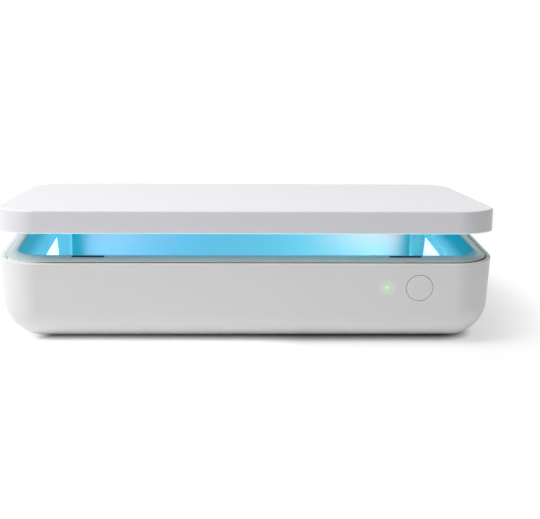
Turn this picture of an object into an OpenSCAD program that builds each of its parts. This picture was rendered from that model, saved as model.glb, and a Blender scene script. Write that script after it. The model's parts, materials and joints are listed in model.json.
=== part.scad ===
// Ultraviolet sanitizer box for phones: a rounded tub, a lit chamber and a flat lid hinged at the back.
// Millimetres. X runs along the width, Y from front to back, and Z up from the surface under the feet.
// The model stands with its lid ajar. Lid pieces are laid out closed, then swung open about the hinge.

/* [Box] */
// Width of the box
box_w = 228; // [210:1:250]
// Depth of the box, front to back
box_d = 128; // [118:1:150]
// Radius of the four corners in plan
corner_r = 18.8; // [17.5:0.1:22]

/* [Tub] */
// Height of the tub from its underside to its rim
tub_h = 38.4; // [36:0.1:44]
// Thickness of the tub's wall and floor
tub_wall = 2; // [1.6:0.1:2.4]
// Lean of the tub's wall from upright, in degrees
tub_draft = 1.5; // [0.5:0.1:2]
// Radius of the tub's bottom edge
bottom_edge_r = 17.9; // [14:0.1:18]
// Width of the ledge that carries the chamber's flange
ledge_w = 1.8; // [1.2:0.1:2.2]
// Thickness of the ledge
ledge_t = 1.4; // [1:0.1:2]

/* [Bezel] */
// Gap between the tub's rim and the bezel
seam_gap = 0.3; // [0.2:0.05:0.5]
// Width of the bezel, from its outer edge to the chamber's mouth
bezel_w = 5.9; // [4.8:0.1:6.4]
// Height of the bezel's outer edge above the tub's rim
bezel_step = 0.2; // [0:0.05:0.4]
// Height of the bezel's crest above the tub's rim
crest_rise = 2.1; // [1.6:0.1:2.6]
// Radius of the crest
crest_r = 0.9; // [0.6:0.1:1.2]
// Depth of the bezel's skirt below the rim
skirt_h = 2.1; // [1.6:0.1:3]
// Thickness of the bezel's skirt
skirt_t = 1.4; // [1:0.1:1.8]
// Length of one rim bumper
bumper_l = 15; // [10:0.5:20]
// Width of one rim bumper
bumper_w = 1.4; // [0.8:0.1:1.6]
// Depth of a bumper's pocket
bumper_depth = 1; // [0.6:0.1:1.4]
// Place of a bumper's middle, sideways from the centre
bumper_x = 72.4; // [50:0.1:85]
// Place of a bumper's middle in front of the mouth's edge
bumper_out = 1.5; // [0.8:0.1:2]

/* [Chamber] */
// Depth of the chamber from the crest to its floor
chamber_h = 33; // [30:0.5:34]
// Lean of the chamber's walls below their flare, in degrees
chamber_taper = 4; // [2:0.5:6]
// Height of the flare at the top of the chamber's walls
flare_h = 11; // [8:0.5:12]
// How far the flare leans in from the chamber's mouth
flare_in = 4; // [3:0.1:4.4]
// Thickness of the chamber's wall and floor
liner_wall = 1.5; // [1.2:0.1:2]
// Thickness of the flange round the chamber's top
flange_t = 1.4; // [1:0.1:2]
// Width of a corner post, from the end wall's foot
post_w = 6.2; // [5:0.1:9]
// Depth of a corner post, from the long wall's foot
post_d = 4.6; // [3:0.1:7]
// Height of the corner posts above the floor
post_h = 24; // [18:0.5:26]

/* [Lid] */
// Thickness of the lid
lid_h = 10.4; // [10:0.1:13]
// Gap between the tub's rim and the closed lid
lid_gap = 1; // [0.8:0.1:1.6]
// Thickness of the lid's wall and top
lid_wall = 2; // [1.6:0.1:2.4]
// Radius of the lid's top edge
lid_edge_r = 0.8; // [0.4:0.1:1.4]
// Chamfer on the lid's bottom edge
lid_edge_c = 0.4; // [0.2:0.1:0.6]
// Relief along the lid's rear bottom edge, so that it clears the bezel
rear_relief = 1.5; // [1.2:0.1:1.8]
// Angle at which the lid stands ajar, in degrees
lid_ajar = 5.9; // [3:0.1:10]
// Height of the inner panel's face above the lid's bottom edge
panel_lift = 1.9; // [1.7:0.1:2.4]
// Thickness of the inner panel
panel_t = 1.5; // [1.3:0.1:1.8]
// Gap between the inner panel and the lid's wall
panel_gap = 0.3; // [0.2:0.05:0.5]
// Width of the light seal
seal_w = 4; // [3:0.1:4.4]
// Gap between the closed light seal and the crest
seal_clear = 0.15; // [0.1:0.05:0.3]

/* [Hinge] */
// Place of a hinge's middle, sideways from the centre
hinge_x = 74; // [60:0.5:80]
// Height of the hinge axis above the closed lid's bottom edge
pivot_lift = 3.4; // [3.3:0.1:3.8]
// Distance of the hinge axis from the box's rear face
pivot_in = 3; // [2.9:0.1:3.2]
// Outer radius of the knuckles
knuckle_r = 2.5; // [2.3:0.1:2.6]
// Length of the bracket's knuckle
knuckle_l = 10; // [8:0.5:14]
// Length of each of the leaf's knuckles
leaf_knuckle_l = 5; // [4:0.5:7]
// Gap between knuckles, which a washer fills
knuckle_gap = 0.3; // [0.25:0.05:0.5]
// Thickness of a washer
washer_t = 0.24; // [0.15:0.01:0.24]
// Outer radius of a hinge pin
pin_r = 1.2; // [1:0.05:1.4]
// Bore radius of a hinge pin, which the lamp's lead passes through
pin_bore_r = 0.75; // [0.7:0.05:0.8]
// Running clearance of the pin in the bracket
pin_clear = 0.04; // [0.02:0.01:0.08]
// Thickness of the bracket and of the leaf
hinge_t = 1.4; // [1.2:0.1:1.5]
// Reach of the leaf forward from the hinge axis
leaf_reach = 14; // [11:0.5:20]
// Radius of the lamp's lead
lead_r = 0.6; // [0.4:0.05:0.65]

/* [Lamps] */
// Distance of an end window's ends from the box's front and rear
end_window_in = 22; // [21:0.5:34]
// Height of an end lamp's window along the wall
end_window_h = 16; // [12:0.1:16.4]
// Height of an end window's lower edge above the chamber's floor
end_window_up = 0.8; // [0.5:0.1:3]
// Radius of an end lamp's tube
end_tube_r = 2; // [1.4:0.1:2.2]
// Depth of an end lamp's cradle
cradle_depth = 5.8; // [5.4:0.1:6]
// Height of an end lamp's cradle
cradle_h = 13.6; // [11:0.1:13.6]
// Wall of a lamp's cradle
cradle_wall = 1.2; // [0.8:0.1:1.4]
// Thickness of a reflector's sheet
sheet_t = 0.4; // [0.2:0.05:0.5]
// Length of the lid lamp's window
lid_window_l = 176; // [120:1:184]
// Width of the lid lamp's window
lid_window_w = 25; // [16:0.5:40]
// Radius of the lid lamp's tube
lid_tube_r = 1.5; // [1:0.1:1.5]
// Length of a lamp's socket
socket_l = 4; // [3:0.1:6]

/* [Charging] */
// Length of the charging pad
pad_l = 150; // [120:1:170]
// Width of the charging pad
pad_w = 74; // [64:1:80]
// Thickness of the charging pad
pad_t = 1; // [0.6:0.1:1.5]
// Corner radius of the charging pad
pad_r = 10; // [4:0.5:20]
// Outer radius of the grip ring
grip_r = 29; // [24:0.5:30]
// Width of the grip ring
grip_w = 2.4; // [1.5:0.1:4]
// Height of the grip ring above the pad
grip_h = 0.5; // [0.3:0.1:1]
// Outer radius of the charging coil
coil_r = 23; // [18:0.5:24]
// Inner radius of the charging coil
coil_in_r = 9; // [6:0.5:12]
// Thickness of the charging coil
coil_t = 1.2; // [0.8:0.1:1.3]
// Thickness of the coil's ferrite
ferrite_t = 0.6; // [0.4:0.1:0.7]

/* [Button] */
// Radius of the power button
button_r = 6; // [5:0.1:7]
// Gap round the power button
button_gap = 0.2; // [0.15:0.05:0.4]
// Distance of the power button's middle from the box's side
button_in = 35.6; // [34:0.1:40]
// Height of the power button above the tub's underside
button_up = 27.1; // [24:0.1:27.5]
// Width of the flange that keeps the button in
button_flange = 0.9; // [0.6:0.1:1.2]
// Travel of the button
button_travel = 0.4; // [0.2:0.05:0.5]
// Distance of the status light from the button
light_away = 14.9; // [12:0.1:18]
// Radius of the status light's pipe
light_r = 0.9; // [0.6:0.1:1.5]

/* [Boards] */
// Thickness of the circuit boards
board_t = 1; // [0.8:0.1:1.2]
// Length of the main board
main_board_l = 46; // [30:1:48]
// Width of the main board
main_board_w = 64; // [40:1:66]
// Height of the rear boards above the tub's underside
rear_board_up = 12.7; // [12:0.1:13.5]
// Depth of the rear boards
rear_board_d = 7.6; // [6:0.1:8]
// Length of the lamp driver's board
driver_board_l = 38; // [30:1:40]
// Length of the power inlet's board
inlet_board_l = 26; // [24:1:30]
// Height of the button's board
button_board_h = 14; // [12:0.5:14.5]
// How far the button's board reaches past the status light
board_past_light = 6.5; // [5:0.1:8]
// How far the button's board reaches past the button's middle
board_past_button = 12.5; // [9:0.1:13]
// Gap between the main board and the charging coil's ferrite
main_board_gap = 7; // [3:0.5:9]
// Distance of the lid's sensor and magnet from the button
sensor_away = 8.6; // [8:0.1:10]
// Radius of the board screws' shaft
small_screw_r = 0.9; // [0.7:0.05:1]
// Radius of the case screws' shaft
case_screw_r = 1.2; // [1:0.05:1.4]

/* [Feet] */
// Radius of a foot
foot_r = 6; // [5:0.1:7]
// Thickness of a foot
foot_t = 1.5; // [1.2:0.1:1.8]
// How far a foot stands proud of the tub
foot_proud = 0.5; // [0.4:0.1:0.9]
// Distance of a foot from the box's side
foot_in_x = 30; // [26:0.5:40]
// Distance of a foot from the box's front or rear
foot_in_y = 26; // [25.5:0.5:34]

/* [Hidden] */
$fn = 48;
eps = 0.01;
past = 1;
fit = 0.05;
side_gap = 0.5;
ferrite_margin = 2;

// Heights from the surface under the feet
tub_z = foot_proud;
rim_z = tub_z + tub_h;
floor_top_z = tub_z + tub_wall;
crest_z = rim_z + crest_rise;
chamber_z = crest_z - chamber_h;
seat_z = rim_z - skirt_h;
lid_z = rim_z + lid_gap;
lid_top_z = lid_z + lid_h;
lid_roof_z = lid_top_z - lid_wall;
panel_z = lid_z + panel_lift;
panel_top_z = panel_z + panel_t;
pad_top_z = chamber_z + pad_t;

// The outline's straight runs end at the corners' centres
half_x = box_w / 2 - corner_r;
half_y = box_d / 2 - corner_r;

// The tub's bottom edge is limited by the corner that it turns in
bottom_r = min(bottom_edge_r, corner_r - tan(tub_draft) * tub_h - 0.3);
bottom_u = corner_r - tan(tub_draft) * (tub_h - bottom_r) - bottom_r / cos(tub_draft);

// The chamber's mouth and walls
mouth_in = tub_wall + seam_gap + bezel_w;
flare_z = crest_z - flare_h;
flare_lean = atan(flare_in / flare_h);
liner_out = liner_wall / cos(chamber_taper);
flare_out = liner_wall / cos(flare_lean);
bezel_u = corner_r - tub_wall - seam_gap;
end_window_l = box_d - 2 * end_window_in;

// The hinge axis, with the lid closed
pivot_y = box_d / 2 - pivot_in;
pivot_z = lid_z + pivot_lift;
sweep_r = norm([pivot_in - rear_relief, pivot_lift]) + 0.55;
hinge_half = knuckle_l / 2 + knuckle_gap + leaf_knuckle_l;
notch_half = hinge_half + 2.7;
neck_y = pivot_y - 1.6;
lead_x = hinge_half + 0.6 + lead_r;

// The button's place on the front
button_x = box_w / 2 - button_in;
button_z = tub_z + button_up;
front_y = -box_d / 2 + tan(tub_draft) * (rim_z - button_z);
board_y = front_y + tub_wall + 3.75;
switch_t = 1.6;

// The leaf lies just above the inner panel
leaf_z = pivot_z + 1;
lid_tube_z = panel_top_z + 0.3 + lid_tube_r;

function arc(center, r, from, to, steps) =
    [for (i = [0:steps]) let (a = from + (to - from) * i / steps) center + r * [cos(a), sin(a)]];
// Distance of the tub's wall out from the corner's centre, at a height and a depth into the wall
function wall_u(z, depth) = corner_r - tan(tub_draft) * (rim_z - z) - depth / cos(tub_draft);
// Distance of the chamber's wall out from the corner's centre, on its flare and below it
function chamber_u(z) = corner_r - mouth_in - (z > flare_z
    ? (crest_z - z) * tan(flare_lean)
    : flare_in + (flare_z - z) * tan(chamber_taper));

// Carries a section round the box's outline, its x measured out from the corner's centre
module outline() {
    for (k = [0:3]) {
        along = k % 2 == 0 ? half_x : half_y;
        across = k % 2 == 0 ? half_y : half_x;
        rotate([0, 0, 90 * k]) translate([along, across, 0]) {
            rotate_extrude(angle = 90, $fn = 64) children();
            rotate([90, 0, 0]) linear_extrude(2 * across) children();
        }
    }
}
// The same, filled in between two heights
module filled(low, high) {
    outline() children();
    translate([-half_x, -half_y, low]) cube([2 * half_x, 2 * half_y, high - low]);
}
module round_rect(size, r) {
    square([size.x - 2 * r, size.y], center = true);
    square([size.x, size.y - 2 * r], center = true);
    for (x = [-1, 1], y = [-1, 1]) translate([x * (size.x / 2 - r), y * (size.y / 2 - r)]) circle(r);
}
module plate(size, r, low, high) {
    translate([0, 0, low]) linear_extrude(high - low) round_rect(size, r);
}
module block(from, to) {
    translate(from) cube(to - from);
}
module upright(at, r, low, high) {
    translate([at.x, at.y, low]) cylinder(r = r, h = high - low);
}
module across_x(at, r, from, to) {
    translate([from, at.x, at.y]) rotate([0, 90, 0]) cylinder(r = r, h = to - from);
}
module along_y(at, r, from, to) {
    translate([at.x, from, at.y]) rotate([-90, 0, 0]) cylinder(r = r, h = to - from);
}
module both_sides() {
    children();
    mirror([1, 0, 0]) children();
}
module four_places(x, y) {
    for (i = [-1, 1], j = [-1, 1]) translate([i * x, j * y, 0]) children();
}
// A screw that points up from the underside of its head
module screw(at, shaft_r, head_r, head_h, low, high) {
    upright(at, head_r, low, low + head_h);
    upright(at, shaft_r, low + head_h - eps, high);
}
module lead(points, r) {
    for (i = [1:len(points) - 1]) {
        step = points[i] - points[i - 1];
        translate(points[i - 1])
            rotate([0, acos(step.z / norm(step)), atan2(step.y, step.x)]) cylinder(r = r, h = norm(step));
    }
    for (i = [1:len(points) - 2]) translate(points[i]) sphere(r);
}
// Swings the closed lid's pieces to where they stand
module ajar() {
    translate([0, pivot_y, pivot_z]) rotate([-lid_ajar, 0, 0]) translate([0, -pivot_y, -pivot_z])
        children();
}
// Frame of an end wall: x points out of the chamber, z up along the wall, from the window's middle
module on_end_wall() {
    low = chamber_z + end_window_up;
    mid_z = low + end_window_h / 2 * cos(chamber_taper);
    both_sides() translate([half_x + chamber_u(mid_z), 0, mid_z]) rotate([0, chamber_taper, 0]) children();
}

// Places of the fasteners
foot_at = [box_w / 2 - foot_in_x, box_d / 2 - foot_in_y];
rear_post_y = box_d / 2 - 8.5;
rear_board_z = tub_z + rear_board_up;
rear_board_y = [box_d / 2 - 3.9 - rear_board_d, box_d / 2 - 3.9];
bracket_side = 3;
driver_mid = -(hinge_x - knuckle_l / 2 - bracket_side + inlet_board_l / 2) / 2;
driver_x = [driver_mid - driver_board_l / 2, driver_mid + driver_board_l / 2];
inlet_z = rear_board_z + board_t + 1.6;
main_x = -coil_r - ferrite_margin - main_board_gap - main_board_l / 2;
main_z = floor_top_z + 0.6;
main_screw_at = [main_board_l / 2 - 4, main_board_w / 2 - 4];
panel_screw_at = [half_x + 3, half_y + 4];
leaf_screw_at = [7, pivot_y - leaf_reach + 4];
magnet_at = [button_x - sensor_away, -box_d / 2 + 7.5];
button_rib_x = [button_x - light_away - board_past_light, button_x + board_past_button];
button_board_z = [button_z - button_board_h / 2 - 2.2, button_z + button_board_h / 2 - 2.2];
bracket_foot_z = rear_board_z + 0.8;

module tub_section(depth, top_z) {
    r = bottom_r - depth;
    center = [bottom_u, tub_z + bottom_r];
    polygon([
        [0, tub_z + depth], [bottom_u, tub_z + depth], center,
        center + r * [cos(tub_draft), -sin(tub_draft)],
        [wall_u(top_z, depth), top_z], [0, top_z]
    ]);
    intersection() {
        translate(center) circle(r, $fn = 96);
        translate(center - [0, r]) square(r);
    }
}
module tub_solid() {
    filled(tub_z, rim_z) tub_section(0, rim_z);
}
// Room in the rear rim for the hinge brackets' necks and for the lamp's lead
module rear_notches() {
    for (side = [-1, 1])
        block([side * hinge_x - knuckle_l / 2 - side_gap, neck_y - side_gap, seat_z - 10],
              [side * hinge_x + knuckle_l / 2 + side_gap, box_d / 2 - tub_wall + fit, crest_z + past]);
    block([lead_x - hinge_x - 1, pivot_y - 1, seat_z - 10],
          [lead_x - hinge_x + 1, box_d / 2 - tub_wall + fit, crest_z + past]);
}
module tub_posts() {
    for (x = [driver_x[0] + 5, driver_x[1] - 5, -inlet_board_l / 2 + 3.5, inlet_board_l / 2 - 3.5])
        upright([x, rear_post_y], 2.4, tub_z, rear_board_z);
    for (side = [-1, 1]) upright([side * hinge_x, rear_post_y], 3, tub_z, bracket_foot_z);
    translate([main_x, 0, 0])
        four_places(main_screw_at.x, main_screw_at.y) upright([0, 0], 2, tub_z, main_z);
    four_places(foot_at.x, foot_at.y) upright([0, 0], 4.4, tub_z, floor_top_z + 1.9);
}
// Slotted ribs behind the front wall that hold the button's board
module board_ribs() {
    for (x = [button_rib_x[0], button_rib_x[1]]) difference() {
        block([x - 1.3, -box_d / 2, tub_z], [x + 1.3, board_y + board_t + 0.55, button_board_z[1]]);
        block([x - (x == button_rib_x[1] ? 2 : 0.2), board_y - fit, button_board_z[0] - fit],
              [x + (x == button_rib_x[0] ? 2 : 0.2), board_y + board_t + fit, button_board_z[1] + past]);
    }
}

module base_shell() color([0.93, 0.93, 0.94]) difference() {
    union() {
        difference() {
            tub_solid();
            filled(floor_top_z, rim_z + past) tub_section(tub_wall, rim_z + past);
        }
        intersection() {
            tub_solid();
            union() {
                tub_posts();
                board_ribs();
            }
        }
        difference() {
            outline() translate([wall_u(seat_z, tub_wall) - ledge_w, seat_z - flange_t - ledge_t])
                square([ledge_w + tub_wall / 2, ledge_t]);
            rear_notches();
            along_y([button_x, button_z], button_r + button_gap + button_flange + 0.35, front_y + tub_wall, board_y);
        }
    }
    four_places(foot_at.x, foot_at.y) {
        upright([0, 0], foot_r + fit, tub_z - past, tub_z + foot_t - foot_proud);
        upright([0, 0], 2.5, tub_z - past, tub_z + 2.5);
        upright([0, 0], case_screw_r + 0.15, tub_z, floor_top_z + 3);
    }
    translate([main_x, 0, 0]) four_places(main_screw_at.x, main_screw_at.y)
        upright([0, 0], small_screw_r + fit, main_z - 1.7, main_z + past);
    for (x = [driver_x[0] + 5, driver_x[1] - 5, -inlet_board_l / 2 + 3.5, inlet_board_l / 2 - 3.5])
        upright([x, rear_post_y], small_screw_r + fit, rear_board_z - 3.6, rear_board_z + past);
    for (side = [-1, 1])
        upright([side * hinge_x, rear_post_y], small_screw_r + fit, bracket_foot_z - 4.6, bracket_foot_z + past);
    along_y([button_x, button_z], button_r + button_gap, -box_d / 2 - past, front_y + tub_wall + past);
    along_y([button_x - light_away, button_z], light_r + fit, -box_d / 2 - past, front_y + tub_wall + past);
    translate([0, box_d / 2 + past, inlet_z]) rotate([90, 0, 0])
        linear_extrude(tub_wall + 3) round_rect([9.5, 3.7], 1.84);
}

module bezel_section() {
    crest_at = [chamber_u(crest_z - crest_r) + crest_r / cos(flare_lean), crest_z - crest_r];
    slope = atan((crest_rise - bezel_step) / (bezel_u - crest_at.x));
    inner_u = chamber_u(crest_z - 2) + skirt_t;
    difference() {
        polygon(concat(
            [[bezel_u, seat_z], [bezel_u, rim_z + bezel_step - 0.2], [bezel_u - 0.15, rim_z + bezel_step]],
            arc(crest_at, crest_r, 90 - slope, 180 - flare_lean, 8),
            [[chamber_u(seat_z), seat_z]]
        ));
        polygon([
            [chamber_u(seat_z) + skirt_t, seat_z - past], [bezel_u - skirt_t, seat_z - past],
            [bezel_u - skirt_t, seat_z + 0.5], [inner_u + 0.5, crest_z - 1.9], [inner_u, crest_z - 2]
        ]);
    }
}
bumper_y = -box_d / 2 + mouth_in - bumper_out;
module bumper_pockets(grow) {
    both_sides() block(
        [bumper_x - bumper_l / 2 - grow, bumper_y - bumper_w / 2 - grow, crest_z - bumper_depth - grow],
        [bumper_x + bumper_l / 2 + grow, bumper_y + bumper_w / 2 + grow, crest_z + past]);
}
module bezel_frame() color([0.86, 0.88, 0.88]) difference() {
    outline() bezel_section();
    across_x([pivot_y, pivot_z], sweep_r, -half_x - corner_r, half_x + corner_r);
    rear_notches();
    bumper_pockets(fit);
}
module rim_bumpers() color([0.1, 0.22, 0.3]) intersection() {
    bumper_pockets(0);
    block([-box_w / 2, -box_d / 2, 0], [box_w / 2, 0, crest_z + fit]);
}

module chamber_space(top_z) {
    filled(chamber_z, top_z) polygon([
        [0, chamber_z], [chamber_u(chamber_z), chamber_z], [chamber_u(flare_z), flare_z],
        [chamber_u(top_z), top_z], [0, top_z]
    ]);
}
module liner_solid() {
    low = chamber_z - liner_wall;
    filled(low, seat_z) polygon([
        [0, low], [chamber_u(low) + liner_out, low], [chamber_u(flare_z) + liner_out, flare_z],
        [chamber_u(seat_z) + flare_out, seat_z], [0, seat_z]
    ]);
}
module corner_posts() {
    x = half_x + chamber_u(chamber_z) - post_w;
    y = half_y + chamber_u(chamber_z) - post_d;
    for (i = [0, 1], j = [0, 1]) mirror([i, 0, 0]) mirror([0, j, 0])
        translate([x, y, chamber_z - eps]) linear_extrude(post_h) {
            translate([1.5, 0]) square([box_w / 2 - x, box_d / 2 - y]);
            translate([0, 1.5]) square([box_w / 2 - x, box_d / 2 - y]);
            translate([1.5, 1.5]) circle(1.5);
        }
}
module end_window_blanks(grow, depth) {
    on_end_wall() translate([-grow, -end_window_l / 2 - grow, -end_window_h / 2 - grow])
        cube([depth + grow, end_window_l + 2 * grow, end_window_h + 2 * grow]);
}
module chamber_tray() color([0.75, 0.9, 0.95]) difference() {
    union() {
        difference() {
            liner_solid();
            chamber_space(seat_z + past);
        }
        intersection() {
            liner_solid();
            corner_posts();
        }
        difference() {
            outline() translate([chamber_u(seat_z) + flare_out / 2, seat_z - flange_t])
                square([bezel_u - chamber_u(seat_z) - flare_out / 2, flange_t]);
            rear_notches();
        }
        four_places(foot_at.x, foot_at.y)
            upright([0, 0], 3.2, floor_top_z + 2, chamber_z - liner_wall + eps);
    }
    four_places(foot_at.x, foot_at.y)
        upright([0, 0], case_screw_r + fit, floor_top_z + past, chamber_z - 0.6);
    end_window_blanks(fit, liner_wall + past);
}

module charging_pad() color([0.9, 0.93, 0.94]) difference() {
    plate([pad_l, pad_w], pad_r, chamber_z, pad_top_z);
    upright([0, 0], grip_r + fit, pad_top_z - pad_t / 2, pad_top_z + past);
}
module grip_ring() color([0.62, 0.66, 0.68]) {
    low = pad_top_z - pad_t / 2;
    difference() {
        upright([0, 0], grip_r, low, pad_top_z + grip_h);
        upright([0, 0], grip_r - grip_w, low + pad_t / 2, pad_top_z + grip_h + past);
    }
}
module charging_coil() color([0.72, 0.42, 0.2]) {
    high = chamber_z - liner_wall;
    difference() {
        upright([0, 0], coil_r, high - coil_t, high);
        upright([0, 0], coil_in_r, high - coil_t - past, high + past);
    }
}
module coil_ferrite() color([0.2, 0.2, 0.21]) {
    high = chamber_z - liner_wall - coil_t;
    upright([0, 0], coil_r + ferrite_margin, high - ferrite_t, high);
}

// The end lamps, behind the chamber's end walls
tube_space = cradle_depth - cradle_wall - sheet_t - fit;
tube_out = liner_wall + tube_space / 2;
tube_r = min(end_tube_r, tube_space / 2 - 0.1);
cradle_l = end_window_l + 4;
module end_lamp_windows() color([0.9, 1, 1]) end_window_blanks(0, liner_wall);
module end_lamp_cradles() color([0.9, 0.9, 0.9]) on_end_wall() difference() {
    block([liner_wall + fit, -cradle_l / 2, -cradle_h / 2],
          [liner_wall + cradle_depth, cradle_l / 2, cradle_h / 2]);
    block([liner_wall - past, -cradle_l / 2 + cradle_wall, -cradle_h / 2 + cradle_wall],
          [liner_wall + cradle_depth - cradle_wall, cradle_l / 2 - cradle_wall, cradle_h / 2 - cradle_wall]);
}
socket_y = cradle_l / 2 - cradle_wall - fit;
module end_lamp_reflectors() color([0.8, 0.82, 0.85]) {
    half_l = socket_y - socket_l - fit;
    half_h = cradle_h / 2 - cradle_wall - fit;
    back = liner_wall + cradle_depth - cradle_wall - fit;
    on_end_wall() difference() {
        block([liner_wall + fit, -half_l, -half_h], [back, half_l, half_h]);
        block([liner_wall - past, -half_l - past, -half_h + sheet_t],
              [back - sheet_t, half_l + past, half_h - sheet_t]);
    }
}
module end_lamp_tubes() color([0.85, 0.95, 1]) on_end_wall()
    along_y([tube_out, 0], tube_r, -socket_y + 1, socket_y - 1);
module end_lamp_sockets() color([0.92, 0.92, 0.9]) on_end_wall() difference() {
    for (i = [-1, 1]) translate([liner_wall + 2 * fit, i * (socket_y - socket_l / 2), 0])
        translate([0, -socket_l / 2, -cradle_h / 4])
            cube([cradle_depth - cradle_wall - 3 * fit, socket_l, cradle_h / 2]);
    along_y([tube_out, 0], tube_r + 0.02, -socket_y + 1, socket_y - 1);
}

// The circuit boards and what they carry
module main_board() color([0.1, 0.35, 0.2]) translate([main_x, 0, 0]) difference() {
    block([-main_board_l / 2, -main_board_w / 2, main_z], [main_board_l / 2, main_board_w / 2, main_z + board_t]);
    four_places(main_screw_at.x, main_screw_at.y)
        upright([0, 0], small_screw_r + 0.15, main_z - past, main_z + board_t + past);
}
module main_board_parts() color([0.15, 0.15, 0.16]) translate([main_x, 0, 0]) {
    top = main_z + board_t;
    block([-5, -5, top], [5, 5, top + 1.1]);
    pitch = main_board_w / 7;
    for (y = [-2 * pitch, 1.7 * pitch]) block([-10, y - 3.5, top], [-3, y + 3.5, top + 1.5]);
    for (i = [-2:2]) block([6, i * pitch - 1, top], [9, i * pitch + 1, top + 0.8]);
    upright([main_screw_at.x - 8, main_screw_at.y - 5], 2.4, top, top + 1.6);
}
module driver_board() color([0.1, 0.35, 0.2]) difference() {
    block([driver_x[0], rear_board_y[0], rear_board_z], [driver_x[1], rear_board_y[1], rear_board_z + board_t]);
    for (x = [driver_x[0] + 5, driver_x[1] - 5])
        upright([x, rear_post_y], small_screw_r + 0.15, rear_board_z - past, rear_board_z + board_t + past);
}
module driver_parts() color([0.85, 0.7, 0.2]) {
    top = rear_board_z + board_t;
    middle = (driver_x[0] + driver_x[1]) / 2;
    block([middle - 6, rear_board_y[0] + 1.4, top], [middle + 6, rear_board_y[1] - 0.4, top + 5.4]);
    for (x = [-9, 9]) upright([middle + x, rear_board_y[0] + 4.8], 1.8, top, top + 5);
}
module inlet_board() color([0.1, 0.35, 0.2]) difference() {
    block([-inlet_board_l / 2, rear_board_y[0], rear_board_z],
          [inlet_board_l / 2, rear_board_y[1], rear_board_z + board_t]);
    for (x = [-inlet_board_l / 2 + 3.5, inlet_board_l / 2 - 3.5])
        upright([x, rear_post_y], small_screw_r + 0.15, rear_board_z - past, rear_board_z + board_t + past);
}
module power_inlet() color([0.7, 0.71, 0.73]) translate([0, box_d / 2 - 1.1, inlet_z]) rotate([90, 0, 0]) {
    difference() {
        linear_extrude(7.3) round_rect([8.9, 3.2], 1.59);
        translate([0, 0, -past]) linear_extrude(6.2 + past) round_rect([8.3, 2.6], 1.29);
    }
    translate([-3.3, -0.35, 0.6]) cube([6.6, 0.7, 6]);
}
module button_board() color([0.1, 0.35, 0.2])
    block([button_rib_x[0] + 0.3, board_y, button_board_z[0]],
          [button_rib_x[1] - 0.3, board_y + board_t, button_board_z[1]]);
module button_switch() color([0.16, 0.16, 0.17]) difference() {
    translate([button_x - 3, board_y - switch_t, button_z - 3]) cube([6, switch_t, 6]);
    along_y([button_x, button_z], 1.6, board_y - switch_t - past, board_y - switch_t + 1.2);
}
module switch_plunger() color([0.3, 0.3, 0.32])
    along_y([button_x, button_z], 1.5, board_y - switch_t - 0.4, board_y - switch_t + 0.6);
module status_led() color([0.5, 1, 0.55])
    block([button_x - light_away - 0.8, board_y - 0.7, button_z - 0.6],
          [button_x - light_away + 0.8, board_y, button_z + 0.6]);
module light_pipe() color([0.75, 1, 0.78]) intersection() {
    along_y([button_x - light_away, button_z], light_r, -box_d / 2, board_y - 0.7);
    tub_solid();
}
module power_button() color([0.93, 0.93, 0.94]) intersection() {
    union() {
        along_y([button_x, button_z], button_r, -box_d / 2, front_y + tub_wall + 0.15);
        along_y([button_x, button_z], button_r + button_gap + button_flange,
                front_y + tub_wall + 0.25, front_y + tub_wall + 0.95);
        along_y([button_x, button_z], button_r - 1, front_y + tub_wall, front_y + tub_wall + 0.3);
        along_y([button_x, button_z], 1.5, front_y + tub_wall + 0.9, board_y - switch_t - 0.42);
    }
    tub_solid();
}
module lid_sensor() color([0.12, 0.12, 0.13])
    block([magnet_at.x - 1.5, board_y - 1.2, button_board_z[1] - 3.4],
          [magnet_at.x + 1.5, board_y, button_board_z[1] - 0.4]);

// The hinge
module hinge_brackets() color([0.7, 0.72, 0.74]) both_sides() difference() {
    union() {
        across_x([pivot_y, pivot_z], knuckle_r, hinge_x - knuckle_l / 2, hinge_x + knuckle_l / 2);
        block([hinge_x - knuckle_l / 2, neck_y, bracket_foot_z], [hinge_x + knuckle_l / 2, neck_y + hinge_t, pivot_z]);
        block([hinge_x - knuckle_l / 2 - bracket_side, neck_y, bracket_foot_z],
              [hinge_x + knuckle_l / 2 + bracket_side, neck_y + hinge_t, bracket_foot_z + 12]);
        block([hinge_x - knuckle_l / 2 - bracket_side, rear_board_y[0] + 0.2, bracket_foot_z],
              [hinge_x + knuckle_l / 2 + bracket_side, neck_y + hinge_t, bracket_foot_z + hinge_t]);
    }
    across_x([pivot_y, pivot_z], pin_r + pin_clear, hinge_x - hinge_half - past, hinge_x + hinge_half + past);
    upright([hinge_x, rear_post_y], small_screw_r + 0.15, bracket_foot_z - past, bracket_foot_z + hinge_t + past);
}
module hinge_washers() color([0.6, 0.6, 0.62]) both_sides() for (i = [-1, 1]) {
    x = hinge_x + i * (knuckle_l + knuckle_gap) / 2;
    difference() {
        across_x([pivot_y, pivot_z], knuckle_r - 0.3, x - washer_t / 2, x + washer_t / 2);
        across_x([pivot_y, pivot_z], pin_r + pin_clear, x - past, x + past);
    }
}
module hinge_pins() color([0.8, 0.8, 0.82]) ajar() both_sides() difference() {
    across_x([pivot_y, pivot_z], pin_r, hinge_x - hinge_half, hinge_x + hinge_half);
    across_x([pivot_y, pivot_z], pin_bore_r, hinge_x - hinge_half - past, hinge_x + hinge_half + past);
}
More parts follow.
